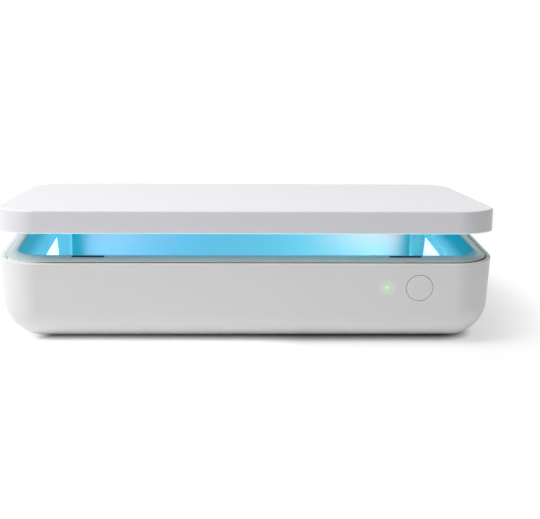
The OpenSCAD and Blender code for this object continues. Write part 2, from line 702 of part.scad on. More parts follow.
module lid_hinge_leaves() color([0.7, 0.72, 0.74]) ajar() both_sides() difference() {
    union() {
        for (i = [-1, 1]) {
            from = hinge_x + i * (knuckle_l / 2 + knuckle_gap);
            to = hinge_x + i * hinge_half;
            across_x([pivot_y, pivot_z], knuckle_r, min(from, to), max(from, to));
        }
        block([hinge_x - hinge_half, pivot_y - leaf_reach, leaf_z], [hinge_x + hinge_half, pivot_y, leaf_z + hinge_t]);
    }
    block([hinge_x - knuckle_l / 2 - knuckle_gap, pivot_y - knuckle_r - 0.7, pivot_z - 5],
          [hinge_x + knuckle_l / 2 + knuckle_gap, pivot_y + 5, pivot_z + 5]);
    across_x([pivot_y, pivot_z], pin_r + eps, hinge_x - hinge_half - past, hinge_x + hinge_half + past);
    for (i = [-1, 1]) upright([hinge_x + i * leaf_screw_at.x, leaf_screw_at.y], small_screw_r + 0.15,
                              leaf_z - past, leaf_z + hinge_t + past);
}

// Leads that meet inside the left hinge's hollow pin
module lamp_lead_base() color([0.15, 0.15, 0.16]) lead([
    [-hinge_x + 0.05, pivot_y, pivot_z], [-hinge_x + lead_x, pivot_y, pivot_z],
    [-hinge_x + lead_x, pivot_y, bracket_foot_z + 13], [-hinge_x + lead_x, rear_post_y, bracket_foot_z + 13],
    [driver_x[0] + 2, rear_post_y, bracket_foot_z + 13], [driver_x[0] + 2, rear_post_y, rear_board_z + board_t]
], lead_r);
module lamp_lead_lid() color([0.15, 0.15, 0.16]) ajar() lead([
    [-hinge_x - 0.05, pivot_y, pivot_z], [-hinge_x - lead_x, pivot_y, pivot_z],
    [-hinge_x - lead_x, pivot_y - 3, leaf_z + 1.5],
    [-hinge_x - lead_x, lid_window_w / 2 + cradle_wall + 0.02, leaf_z + 1.5]
], lead_r);

// The lid
module lid_section() {
    polygon(concat(
        [[0, lid_z], [corner_r - lid_edge_c, lid_z], [corner_r, lid_z + lid_edge_c]],
        arc([corner_r - lid_edge_r, lid_top_z - lid_edge_r], lid_edge_r, 0, 90, 6),
        [[0, lid_top_z]]
    ));
}
module rear_gaps(top_z) {
    both_sides() block([hinge_x - notch_half, pivot_y - knuckle_r - 1.2, lid_z - past],
                       [hinge_x + notch_half, box_d / 2 + past, top_z]);
}
module lid_shell() color([0.96, 0.96, 0.97]) ajar() difference() {
    union() {
        difference() {
            filled(lid_z, lid_top_z) lid_section();
            filled(lid_z - past, lid_roof_z) translate([0, lid_z - past])
                square([corner_r - lid_wall, lid_roof_z - lid_z + past]);
        }
        four_places(panel_screw_at.x, panel_screw_at.y) upright([0, 0], 3, panel_top_z, lid_roof_z + eps);
        for (side = [-1, 1], i = [-1, 1])
            upright([side * hinge_x + i * leaf_screw_at.x, leaf_screw_at.y], 2.6, leaf_z + hinge_t, lid_roof_z + eps);
        upright(magnet_at, 3.6, panel_top_z + 0.2, lid_roof_z + eps);
    }
    four_places(panel_screw_at.x, panel_screw_at.y)
        upright([0, 0], small_screw_r + fit, panel_top_z - past, lid_roof_z - 0.6);
    for (side = [-1, 1], i = [-1, 1])
        upright([side * hinge_x + i * leaf_screw_at.x, leaf_screw_at.y], small_screw_r + fit,
                leaf_z, lid_roof_z - 0.2);
    upright(magnet_at, 2.5 + fit, panel_top_z, lid_roof_z - 1);
    rear_gaps(pivot_z + knuckle_r + 0.5);
    translate([0, box_d / 2, lid_z + rear_relief]) rotate([-45, 0, 0]) translate([-box_w, 0, -10])
        cube([2 * box_w, 10, 10]);
}
module lid_inner_panel() color([0.88, 0.93, 0.95]) ajar() difference() {
    plate([box_w - 2 * (lid_wall + panel_gap), box_d - 2 * (lid_wall + panel_gap)],
          corner_r - lid_wall - panel_gap, panel_z, panel_top_z);
    block([-lid_window_l / 2 - fit, -lid_window_w / 2 - fit, panel_z - past],
          [lid_window_l / 2 + fit, lid_window_w / 2 + fit, panel_top_z + past]);
    four_places(panel_screw_at.x, panel_screw_at.y) {
        upright([0, 0], small_screw_r + 0.15, panel_z - past, panel_top_z + past);
        upright([0, 0], 2.1, panel_z - past, panel_z + 1);
    }
    rear_gaps(lid_top_z);
}
module lid_lamp_window() color([0.9, 1, 1]) ajar()
    block([-lid_window_l / 2, -lid_window_w / 2, panel_z], [lid_window_l / 2, lid_window_w / 2, panel_top_z]);
module lid_lamp_cradle() color([0.9, 0.9, 0.9]) ajar() difference() {
    block([-lid_window_l / 2 - cradle_wall, -lid_window_w / 2 - cradle_wall, panel_top_z],
          [lid_window_l / 2 + cradle_wall, lid_window_w / 2 + cradle_wall, lid_roof_z - 0.1]);
    block([-lid_window_l / 2, -lid_window_w / 2, panel_top_z - past],
          [lid_window_l / 2, lid_window_w / 2, lid_roof_z - 0.7]);
}
lamp_roof_z = lid_roof_z - 0.7 - fit;
module lid_lamp_reflector() color([0.8, 0.82, 0.85]) ajar() difference() {
    block([-lid_window_l / 2 + socket_l + 2 * fit, -lid_window_w / 2 + fit, panel_top_z + fit],
          [lid_window_l / 2 - socket_l - 2 * fit, lid_window_w / 2 - fit, lamp_roof_z]);
    block([-lid_window_l / 2, -lid_window_w / 2 + fit + sheet_t, panel_top_z - past],
          [lid_window_l / 2, lid_window_w / 2 - fit - sheet_t, lamp_roof_z - sheet_t]);
}
module lid_lamp_tube() color([0.85, 0.95, 1]) ajar()
    across_x([0, lid_tube_z], lid_tube_r, -lid_window_l / 2 + 1, lid_window_l / 2 - 1);
module lid_lamp_sockets() color([0.92, 0.92, 0.9]) ajar() difference() {
    both_sides() block([lid_window_l / 2 - socket_l - fit, -4, panel_top_z + fit],
                       [lid_window_l / 2 - fit, 4, lamp_roof_z]);
    across_x([0, lid_tube_z], lid_tube_r + 0.02, -lid_window_l / 2 + 1, lid_window_l / 2 - 1);
}
module lid_seal() color([0.7, 0.74, 0.75]) ajar() difference() {
    outline() translate([corner_r - mouth_in - 1, crest_z + seal_clear])
        square([seal_w, panel_z - crest_z - seal_clear]);
    rear_gaps(lid_top_z);
}
module panel_screws() color([0.75, 0.75, 0.77]) ajar() four_places(panel_screw_at.x, panel_screw_at.y)
    screw([0, 0], small_screw_r, 1.9, 0.9, panel_z + 0.05, lid_roof_z - 0.8);
module leaf_screws() color([0.75, 0.75, 0.77]) ajar() for (side = [-1, 1], i = [-1, 1])
    screw([side * hinge_x + i * leaf_screw_at.x, leaf_screw_at.y], small_screw_r, 1.7, 0.9,
          leaf_z - 0.9, lid_roof_z - 0.4);
module lid_magnet() color([0.6, 0.6, 0.63]) ajar()
    upright(magnet_at, 2.5, panel_top_z + 0.3, panel_top_z + 3.3);

module rubber_feet() color([0.2, 0.2, 0.21]) four_places(foot_at.x, foot_at.y)
    upright([0, 0], foot_r, 0, foot_t);
module case_screws() color([0.75, 0.75, 0.77]) four_places(foot_at.x, foot_at.y)
    screw([0, 0], case_screw_r, 2.2, 1.3, foot_t + 0.05, chamber_z - 0.8);
module board_screws() color([0.75, 0.75, 0.77]) {
    translate([main_x, 0, 0]) four_places(main_screw_at.x, main_screw_at.y)
        translate([0, 0, 2 * (main_z + board_t)]) mirror([0, 0, 1])
            screw([0, 0], small_screw_r, 1.7, 0.9, main_z + board_t - 0.9, main_z + board_t + 2.3);
    for (x = [driver_x[0] + 5, driver_x[1] - 5, -inlet_board_l / 2 + 3.5, inlet_board_l / 2 - 3.5])
        translate([0, 0, 2 * (rear_board_z + board_t)]) mirror([0, 0, 1])
            screw([x, rear_post_y], small_screw_r, 1.7, 0.9,
                  rear_board_z + board_t - 0.9, rear_board_z + board_t + 4);
}
module bracket_screws() color([0.75, 0.75, 0.77]) for (side = [-1, 1])
    translate([0, 0, 2 * (bracket_foot_z + hinge_t)]) mirror([0, 0, 1])
        screw([side * hinge_x, rear_post_y], small_screw_r, 1.9, 0.9,
              bracket_foot_z + hinge_t - 0.9, bracket_foot_z + hinge_t + 5);

base_shell();
bezel_frame();
chamber_tray();
charging_pad();
grip_ring();
charging_coil();
coil_ferrite();
end_lamp_windows();
end_lamp_tubes();
end_lamp_sockets();
end_lamp_reflectors();
end_lamp_cradles();
main_board();
main_board_parts();
driver_board();
driver_parts();
inlet_board();
power_inlet();
button_board();
button_switch();
status_led();
light_pipe();
lid_sensor();
rim_bumpers();
hinge_brackets();
hinge_washers();
rubber_feet();
case_screws();
board_screws();
bracket_screws();
lamp_lead_base();
lid_shell();
lid_inner_panel();
lid_lamp_window();
lid_lamp_tube();
lid_lamp_sockets();
lid_lamp_reflector();
lid_lamp_cradle();
lid_seal();
lid_hinge_leaves();
hinge_pins();
panel_screws();
leaf_screws();
lid_magnet();
lamp_lead_lid();
power_button();
switch_plunger();
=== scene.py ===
import json
import math

import bmesh
import bpy
from mathutils import Matrix, Vector


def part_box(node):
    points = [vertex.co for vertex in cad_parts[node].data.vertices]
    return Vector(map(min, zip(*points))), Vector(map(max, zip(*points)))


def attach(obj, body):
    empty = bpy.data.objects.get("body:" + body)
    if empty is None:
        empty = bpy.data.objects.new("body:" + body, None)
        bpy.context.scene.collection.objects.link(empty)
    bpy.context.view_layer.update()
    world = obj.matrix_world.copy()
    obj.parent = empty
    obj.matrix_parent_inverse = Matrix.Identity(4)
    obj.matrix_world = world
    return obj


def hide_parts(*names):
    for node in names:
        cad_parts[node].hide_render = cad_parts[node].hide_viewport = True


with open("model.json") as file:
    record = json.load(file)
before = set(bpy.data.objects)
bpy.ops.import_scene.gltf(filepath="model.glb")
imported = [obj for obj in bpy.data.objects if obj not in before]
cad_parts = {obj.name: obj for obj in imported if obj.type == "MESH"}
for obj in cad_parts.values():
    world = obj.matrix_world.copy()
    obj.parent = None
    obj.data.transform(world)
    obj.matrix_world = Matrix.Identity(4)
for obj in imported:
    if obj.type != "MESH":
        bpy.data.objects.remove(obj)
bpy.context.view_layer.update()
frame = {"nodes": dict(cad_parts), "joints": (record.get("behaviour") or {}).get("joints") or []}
NODES = frame["nodes"]
LID_JOINT = next(j for j in frame["joints"] if j["name"] == "lid_hinge")

# Lengths and places in this script are millimetres, and what it makes is in metres
MM = 0.001
SIDES = (-1, 1)


def box_mm(node):
    """Lowest and highest corner of a node of the frame, in millimetres."""
    low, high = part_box(node)
    return low / MM, high / MM


# Sizes that the frame gives
tub_low, tub_high = box_mm("base_shell")
bezel_low, bezel_high = box_mm("bezel_frame")
button_low, button_high = box_mm("power_button")
pipe_low, pipe_high = box_mm("light_pipe")
bumper_low, bumper_high = box_mm("rim_bumpers")
window_low, window_high = box_mm("end_lamp_windows")
inlet_low, inlet_high = box_mm("power_inlet")
BOX_W = tub_high.x - tub_low.x
BOX_D = tub_high.y - tub_low.y
TUB_Z = tub_low.z
RIM_Z = tub_high.z
SEAT_Z = bezel_low.z
CREST_Z = bezel_high.z
CHAMBER_Z = box_mm("charging_pad")[0].z
WINDOW_L = window_high.y - window_low.y
BUTTON_AT = ((button_low.x + button_high.x) / 2, (button_low.z + button_high.z) / 2)
LIGHT_AT = ((pipe_low.x + pipe_high.x) / 2, (pipe_low.z + pipe_high.z) / 2)
PIVOT = Vector(LID_JOINT["pos_m"]) / MM
LID_AJAR = -math.radians(LID_JOINT["range_deg"][0])

# Sizes that the moulded shells share with the frame
CORNER_R = 18.8
TUB_WALL = 2.0
TUB_DRAFT = math.radians(1.5)
BOTTOM_R = CORNER_R - math.tan(TUB_DRAFT) * (RIM_Z - TUB_Z) - 0.3
SEAM_GAP = 0.3
BEZEL_W = 5.9
BEZEL_STEP = 0.2
SKIRT_T = 1.4
TAPER = math.radians(4)
FLARE_H = 11.0
FLARE_IN = 4.0
FLARE_LEAN = math.atan(FLARE_IN / FLARE_H)
LINER_WALL = 1.5
FLANGE_T = 1.4
POST_W = 6.2
POST_D = 4.6
POST_H = 24.0
WINDOW_H = 16.0
WINDOW_UP = 0.8
LID_GAP = 1.0
LID_H = 10.4
LID_WALL = 2.0
LID_EDGE_R = 0.8
LID_EDGE_C = 0.4
REAR_RELIEF = 1.5
HINGE_X = 74.0
KNUCKLE_R = 2.5
BUMPER_L = 15.0
BUTTON_R = 6.0
BUTTON_GAP = 0.2
BUTTON_FLANGE = 0.9
FOOT_R = 6.0

HALF_X = BOX_W / 2 - CORNER_R
HALF_Y = BOX_D / 2 - CORNER_R
MOUTH_IN = TUB_WALL + SEAM_GAP + BEZEL_W
BEZEL_U = CORNER_R - TUB_WALL - SEAM_GAP
FLARE_Z = CREST_Z - FLARE_H
LID_Z = RIM_Z + LID_GAP
LID_TOP_Z = LID_Z + LID_H

# How far a cutter reaches past what it cuts
PAST = 1.0
# How far out from the chamber's wall a face's middle still counts as on it
NEAR_WALL = 0.1


def wall_u(z, depth):
    """Distance of the tub's wall out from a corner's centre, at a depth under its face."""
    return CORNER_R - math.tan(TUB_DRAFT) * (RIM_Z - z) - depth / math.cos(TUB_DRAFT)


def front_y(z):
    """Place of the front wall's face at a height."""
    return -BOX_D / 2 + math.tan(TUB_DRAFT) * (RIM_Z - z)


def chamber_u(z):
    """Distance of the chamber's wall out from a corner's centre, on its flare and below it."""
    mouth = CORNER_R - MOUTH_IN
    if z > FLARE_Z:
        return mouth - (CREST_Z - z) * math.tan(FLARE_LEAN)
    return mouth - FLARE_IN - (FLARE_Z - z) * math.tan(TAPER)


def on_chamber_wall(at):
    """Whether a point lies on the chamber's wall, and not outside it."""
    u = math.hypot(max(abs(at.x) - HALF_X, 0), max(abs(at.y) - HALF_Y, 0))
    return u < chamber_u(at.z) + NEAR_WALL


def on_front(at):
    """Frame of a hole in the front wall: Z points out of the wall, square to it."""
    out = Vector((0, -math.cos(TUB_DRAFT), -math.sin(TUB_DRAFT)))
    turn = out.to_track_quat("Z", "Y").to_matrix().to_4x4()
    return Matrix.Translation((at[0], front_y(at[1]), at[1])) @ turn


def end_wall(side):
    """Frame of an end wall: X points out of the chamber and Z up along the wall, from the window's middle."""
    z = CHAMBER_Z + WINDOW_UP + WINDOW_H / 2 * math.cos(TAPER)
    flip = Matrix.Diagonal((side, 1, 1, 1))
    return flip @ Matrix.Translation((HALF_X + chamber_u(z), 0, z)) @ Matrix.Rotation(TAPER, 4, "Y")


def ajar():
    """The turn of the lid from closed to where it stands."""
    return Matrix.Translation(PIVOT) @ Matrix.Rotation(-LID_AJAR, 4, "X") @ Matrix.Translation(-PIVOT)


# Meshes

CORNER_STEPS = 28
RUN_STEPS = 10
SHARP_ANGLE = math.radians(35)


def arc(middle, radius, start, end, steps):
    """Points on an arc from one angle to another, in degrees."""
    angles = [math.radians(start + (end - start) * i / steps) for i in range(steps + 1)]
    return [(middle[0] + radius * math.cos(a), middle[1] + radius * math.sin(a)) for a in angles]


def stadium(width, height, steps=16):
    """Points round a slot, in X and Y about its middle."""
    run = (width - height) / 2
    right = arc((run, 0), height / 2, -90, 90, steps)
    return right + arc((-run, 0), height / 2, 90, 270, steps)


def outline(u, z):
    """Points of the box's rounded outline at height z, its corners' arcs of radius u."""
    points = []
    corners = [(HALF_X, HALF_Y), (-HALF_X, HALF_Y), (-HALF_X, -HALF_Y), (HALF_X, -HALF_Y)]
    for k, (x, y) in enumerate(corners):
        for i in range(CORNER_STEPS + 1):
            a = math.pi / 2 * (k + i / CORNER_STEPS)
            points.append(Vector((x + u * math.cos(a), y + u * math.sin(a), z)))
        end = math.pi / 2 * (k + 1)
        after = corners[(k + 1) % 4]
        start_point = points[-1]
        end_point = Vector((after[0] + u * math.cos(end), after[1] + u * math.sin(end), z))
        points += [start_point.lerp(end_point, i / RUN_STEPS) for i in range(1, RUN_STEPS)]
    return points


def skin(rings, closed=False):
    """Joins rings of as many points with quads, and closes the ends unless the rings form a loop."""
    mesh = bmesh.new()
    loops = [[mesh.verts.new(p) for p in ring] for ring in rings]
    pairs = list(zip(loops, loops[1:]))
    if closed:
        pairs.append((loops[-1], loops[0]))
    for low, high in pairs:
        for i in range(len(low)):
            j = (i + 1) % len(low)
            mesh.faces.new((low[i], low[j], high[j], high[i]))
    if not closed:
        mesh.faces.new(loops[0][::-1])
        mesh.faces.new(loops[-1])
    return mesh


def loft(section, closed=False):
    """A section of (distance from the corner's centre, height), carried round the box's outline."""
    return skin([outline(u, z) for u, z in section], closed)


def revolve(section, steps=64):
    """A section of (radius, height) turned about Z."""
    turns = [2 * math.pi * i / steps for i in range(steps)]
    return skin([[Vector((r * math.cos(a), r * math.sin(a), z)) for a in turns] for r, z in section])


def prism(points, low, high):
    """An outline in X and Y between two heights."""
    return skin([[Vector((x, y, z)) for x, y in points] for z in (low, high)])


def block(low, high):
    """A box between its lowest and highest corners."""
    mesh = bmesh.new()
    bmesh.ops.create_cube(mesh, size=1)
    low, high = Vector(low), Vector(high)
    mesh.transform(Matrix.Translation((low + high) / 2) @ Matrix.Diagonal((*(high - low), 1)))
    return mesh


def moved(mesh, matrix):
    mesh.transform(matrix)
    return mesh


def joined(*meshes):
    whole = bmesh.new()
    for mesh in meshes:
        part = bpy.data.meshes.new("part")
        mesh.to_mesh(part)
        mesh.free()
        whole.from_mesh(part)
        bpy.data.meshes.remove(part)
    return whole


def add_to_scene(name, data):
    made = bpy.data.objects.new(name, data)
    bpy.context.scene.collection.objects.link(made)
    return made


def to_object(mesh, name):
    """An object in metres from a mesh in millimetres."""
    bmesh.ops.remove_doubles(mesh, verts=mesh.verts, dist=1e-4)
    bmesh.ops.recalc_face_normals(mesh, faces=mesh.faces)
    mesh.transform(Matrix.Scale(MM, 4))
    data = bpy.data.meshes.new(name)
    mesh.to_mesh(data)
    mesh.free()
    return add_to_scene(name, data)


def combine(made, operation, tool):
    """Changes an object's mesh by a second object, which is used up."""
    step = made.modifiers.new("step", "BOOLEAN")
    step.operation = operation
    step.solver = "EXACT"
    step.object = tool
    bpy.context.view_layer.update()
    evaluated = made.evaluated_get(bpy.context.evaluated_depsgraph_get())
    data = bpy.data.meshes.new_from_object(evaluated)
    made.modifiers.clear()
    made.data = data
    bpy.data.objects.remove(tool)


def cut(made, cutters):
    """Cuts each of the meshes out of an object."""
    for number, cutter in enumerate(cutters):
        combine(made, "DIFFERENCE", to_object(cutter, f"tool_{number}"))


def paint(made, material, chosen):
    """Gives a further material to the faces whose middles are chosen."""
    made.data.materials.append(material)
    for face in made.data.polygons:
        if chosen(face.center / MM):
            face.material_index = len(made.data.materials) - 1


def finish_piece(made, body, material, node):
    """Smooths and paints a piece, seats it on its body and puts it in the place of a CAD node."""
    made.data.materials.clear()
    made.data.materials.append(material)
    made.data.shade_smooth()
    made.data.set_sharp_from_angle(angle=SHARP_ANGLE)
    weigh = made.modifiers.new("weigh", "WEIGHTED_NORMAL")
    weigh.keep_sharp = True
    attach(made, body)
    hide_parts(node)


# Materials

class Tree:
    """The nodes of a material or of the world, with a short call for each kind that this script uses."""

    def __init__(self, owner):
        owner.use_nodes = True
        self.nodes = owner.node_tree.nodes
        self.links = owner.node_tree.links
        self.shader = self.nodes.get("Principled BSDF")

    def feed(self, socket, value):
        """Links an input to another node's output, or writes a number or a colour on it."""
        if isinstance(value, bpy.types.NodeSocket):
            self.links.new(value, socket)
        elif isinstance(value, (tuple, list)):
            socket.default_value = (*value, 1)
        else:
            socket.default_value = value

    def set(self, label, value):
        """Feeds an input of the shader."""
        self.feed(self.shader.inputs[label], value)

    def glow(self, colour, strength):
        self.set("Emission Color", colour)
        self.set("Emission Strength", strength)

    def where(self):
        """A point's place on the object."""
        return self.nodes.new("ShaderNodeTexCoord").outputs["Object"]

    def noise(self, scale, detail=3.0):
        grain = self.nodes.new("ShaderNodeTexNoise")
        self.feed(grain.inputs["Scale"], scale)
        self.feed(grain.inputs["Detail"], detail)
        self.feed(grain.inputs["Vector"], self.where())
        return grain.outputs["Fac"]

    def distance(self, middle=(0, 0, 0)):
        """Distance of a point from the middle."""
        away = self.nodes.new("ShaderNodeVectorMath")
        away.operation = "DISTANCE"
        away.inputs[1].default_value = middle
        self.feed(away.inputs[0], self.where())
        return away.outputs["Value"]

    def maths(self, operation, *values):
        """Takes the values together by an operation, two at a time."""
        made = values[0]
        for value in values[1:]:
            step = self.nodes.new("ShaderNodeMath")
            step.operation = operation
            self.feed(step.inputs[0], made)
            self.feed(step.inputs[1], value)
            made = step.outputs[0]
        return made

    def tint(self, fac, low, high):
        """A colour between two, from a factor."""
        mix = self.nodes.new("ShaderNodeMix")
        mix.data_type = "RGBA"
        self.feed(mix.inputs["A"], low)
        self.feed(mix.inputs["B"], high)
        self.feed(mix.inputs["Factor"], fac)
        return mix.outputs["Result"]

    def ramp(self, value, start, end, low=0.0, high=1.0, kind="SMOOTHSTEP"):
        """Goes from low to high as a value goes from start to end."""
        step = self.nodes.new("ShaderNodeMapRange")
        step.interpolation_type = kind
        for label, number in (("From Min", start), ("From Max", end), ("To Min", low), ("To Max", high)):
            self.feed(step.inputs[label], number)
        self.feed(step.inputs["Value"], value)
        return step.outputs["Result"]

    def along(self, axis, start, end, low=0.0, high=1.0):
        """Goes from low to high between two places on the object's X, Y or Z."""
        split = self.nodes.new("ShaderNodeSeparateXYZ")
        self.feed(split.inputs[0], self.where())
        return self.ramp(split.outputs[axis.upper()], start * MM, end * MM, low, high)

    def bump(self, fac, strength, depth):
        made = self.nodes.new("ShaderNodeBump")
        self.feed(made.inputs["Strength"], strength)
        self.feed(made.inputs["Distance"], depth * MM)
        self.feed(made.inputs["Height"], fac)
        return made.outputs["Normal"]

    def seen_or_reflected(self):
        """1 for rays that the camera sends, straight or off gloss or through glass, and 0 for the rest."""
        rays = self.nodes.new("ShaderNodeLightPath").outputs
        kinds = ("Is Camera Ray", "Is Glossy Ray", "Is Transmission Ray")
        return self.maths("MAXIMUM", *[rays[kind] for kind in kinds])


def new_material(name):
    material = bpy.data.materials.new(name)
    return material, Tree(material)


def darker(colour, share):
    return [c * (1 - share) for c in colour]


def moulded(name, colour, rough=(0.32, 0.42), vary=0.02, grain=1800.0, relief=0.02, gloss=0.5):
    """Moulded plastic or rubber, its tone, gloss and surface a little uneven."""
    material, tree = new_material(name)
    broad = tree.noise(18.0)
    fine = tree.noise(grain, 2.0)
    tree.set("Base Color", tree.tint(broad, darker(colour, vary), colour))
    tree.set("Roughness", tree.ramp(broad, 0, 1, *rough, kind="LINEAR"))
    tree.set("Normal", tree.bump(fine, 0.25, relief))
    tree.set("Specular IOR Level", gloss)
    return material


def metal(name, colour, rough=(0.25, 0.4)):
    """Plain metal with a fine grain."""
    material, tree = new_material(name)
    fine = tree.noise(900.0)
    tree.set("Base Color", tree.tint(fine, darker(colour, 0.1), colour))
    tree.set("Roughness", tree.ramp(fine, 0, 1, *rough, kind="LINEAR"))
    tree.set("Metallic", 1.0)
    return material


def glowing(name, colour, look, cast, vary=0.06):
    """A diffuser lit from behind: the light it shows, and the light it casts on what is round it."""
    material, tree = new_material(name)
    broad = tree.noise(25.0)
    shown = tree.tint(broad, darker(look, vary), look)
    tree.glow(tree.tint(tree.seen_or_reflected(), cast, shown), 1.0)
    tree.set("Base Color", tree.tint(broad, darker(colour, vary), colour))
    tree.set("Roughness", 0.3)
    return material


def recolour(material, colour, **steps):
    """Turns a base colour to another past a step along each named axis, from one place to the next."""
    tree = Tree(material)
    passed = tree.maths("MULTIPLY", *[tree.along(axis, *step) for axis, step in steps.items()])
    own = tree.shader.inputs["Base Color"].links[0].from_socket
    tree.set("Base Color", tree.tint(passed, own, colour))


def add_bloom(material, colour, post_colour):
    """A whitish glow painted on the rear wall, stronger to the right and upwards, and one painted on the left
    rear post, where no lamp is.
    """
    tree = Tree(material)
    left = tree.maths("MULTIPLY", tree.along("x", -25, -80, 0.0, 0.3), tree.along("x", -91, -81))
    right = tree.maths("MULTIPLY", tree.along("x", 25, 80), tree.along("x", 84, 94, 1.0, 0.0))
    both = tree.maths("ADD", left, right)
    wall = tree.maths("MULTIPLY", both, tree.along("y", *REAR_WALL), tree.along("z", 12, 26, 0.5, 1.4))
    post = tree.maths("MULTIPLY", tree.along("x", -93.8, -94.2), tree.along("y", 44.8, 45.2),
                      tree.along("y", 46.6, 47.2, 1.0, 0.0))
    tree.glow(tree.tint(post, colour, post_colour), tree.maths("ADD", wall, post))


def add_halo(material, at, reach, colour):
    """A soft glow painted on the front wall round a small light, where the wall itself gives off the light's
    spill.
    """
    tree = Tree(material)
    middle = [c * MM for c in (at[0], front_y(at[1]), at[1])]
    tree.glow(colour, tree.ramp(tree.distance(middle), 0.0, reach * MM, 1.0, 0.0))


# The depths between which the posts' sides end and the chamber's rear wall begins
REAR_WALL = (47.5, 49.5)
SHELL_COLOUR = (0.845, 0.84, 0.842)
# The lid's white: a little bluer than the shell's, and darker as painted shade, since the lid's front stands
# darker than the tub's front
LID_COLOUR_SHADED = (0.79, 0.79, 0.822)
# The liner's colour: partly its own tint and partly the lamps' cyan light painted into it, so the chamber
# stays cyan away from the lamps
LINER_COLOUR_AND_CYAN_LIGHT = (0.36, 0.8, 0.84)
# Teal for the ends of the chamber and its mouth: painted shade of the chamber's cyan light, deepest at the
# right end
INSIDE_LEFT_SHADED_TEAL = (0.14, 0.56, 0.6)
INSIDE_RIGHT_SHADED_TEAL = (0.005, 0.46, 0.52)

# The shells, with the light that falls on them from the chamber and from the status light painted into their
# materials, and painted light and shade on the tub's rim
white = moulded("satin_white", SHELL_COLOUR, gloss=0.3)
lid_white = moulded("satin_white_lid", LID_COLOUR_SHADED, gloss=0.3)
# Painted light: the lid's lower edge glows with the chamber's cyan light, though it is no lamp
lid_lip_painted_glow = moulded("satin_white_lip_painted_glow", LID_COLOUR_SHADED, gloss=0.3)
Tree(lid_lip_painted_glow).glow((0.12, 0.34, 0.4), 1.0)
tub_white = moulded("satin_white_tub", SHELL_COLOUR, gloss=0.3)
# Painted light: the status light's green spill glows from the tub's front wall
add_halo(tub_white, LIGHT_AT, 5.2, (0.0, 0.16, 0.01))
# Painted light and shade: the top of the tub's rim, beside the seam, turns a warmer, darker beige
recolour(tub_white, (0.845, 0.75, 0.7), z=(RIM_Z - 0.3, RIM_Z - 0.05))

# The bezel: its light grey plastic drawn darker and warmer, as painted shade from the lid over it
bezel_grey = moulded("bezel_grey", (0.72, 0.66, 0.62), rough=(0.35, 0.45))
# Painted light: the chamber's cyan light on the bezel's slope, growing towards the crest
recolour(bezel_grey, (0.62, 0.82, 0.9), z=(RIM_Z + 0.4, CREST_Z - 0.2))
# Painted shade: the bezel turns darker towards its left end
recolour(bezel_grey, (0.52, 0.57, 0.58), x=(-84, -106))
# Painted light and shade: near the crest at the right end the bezel turns a dark teal
recolour(bezel_grey, (0.3, 0.62, 0.68), x=(100, 107), z=(CREST_Z - 0.9, CREST_Z - 0.1))
# Painted shade: the bezel's faces in the gap to the tub's rim are drawn near black, for the shade down in the
# seam
bezel_seam_painted_shade_and_glow = moulded("bezel_seam_painted_shade_and_glow", (0.06, 0.06, 0.06), rough=(0.6, 0.7))
# Painted light: towards the left end the seam turns pale and glows, though it is no lamp
recolour(bezel_seam_painted_shade_and_glow, (0.8, 0.8, 0.8), x=(-85, -102))
seam_tree = Tree(bezel_seam_painted_shade_and_glow)
seam_tree.glow((0.45, 0.47, 0.46), seam_tree.along("x", -90, -104))
# Painted light: inside the mouth the bezel takes the chamber's cyan light as a teal colour, lighter towards
# the left end and darker towards the right end
bezel_inside_painted_light = moulded("bezel_inside_painted_light", (0.08, 0.5, 0.57), rough=(0.35, 0.45), gloss=0.2)
recolour(bezel_inside_painted_light, INSIDE_LEFT_SHADED_TEAL, x=(-70, -90))
recolour(bezel_inside_painted_light, INSIDE_RIGHT_SHADED_TEAL, x=(70, 90))

# The chamber's liner, with painted light in its colour: the lamps' cyan light, the posts' shadows, deeper
# teal shade at the ends and a glow on the rear wall
chamber_white = moulded("chamber_white", LINER_COLOUR_AND_CYAN_LIGHT, rough=(0.18, 0.28), relief=0.01)
# Painted shadow: the rear posts' shadows on the rear wall beside them
recolour(chamber_white, (0.08, 0.67, 0.7), x=(-84.5, -92.5), y=REAR_WALL)
recolour(chamber_white, (0.18, 0.67, 0.7), x=(89.5, 93.5), y=REAR_WALL)
liner_flare = moulded("liner_flare", LINER_COLOUR_AND_CYAN_LIGHT, rough=(0.35, 0.45), relief=0.01, gloss=0.1)
# Painted shade: near the top, the end walls turn a deeper teal towards each end
for liner in (chamber_white, liner_flare):
    recolour(liner, INSIDE_LEFT_SHADED_TEAL, x=(-90, -100), z=(30, SEAT_Z + 1))
    recolour(liner, INSIDE_RIGHT_SHADED_TEAL, x=(90, 100), z=(30, SEAT_Z + 1))
# Painted light: a glow on the rear wall and on the left rear post
add_bloom(chamber_white, (0.32, 0.05, 0.02), (0.03, 0.11, 0.15))
# The lid's inner panel in the liner's colour, with its painted cyan light
panel_white = moulded("panel_white", LINER_COLOUR_AND_CYAN_LIGHT, rough=(0.25, 0.35), relief=0.01)

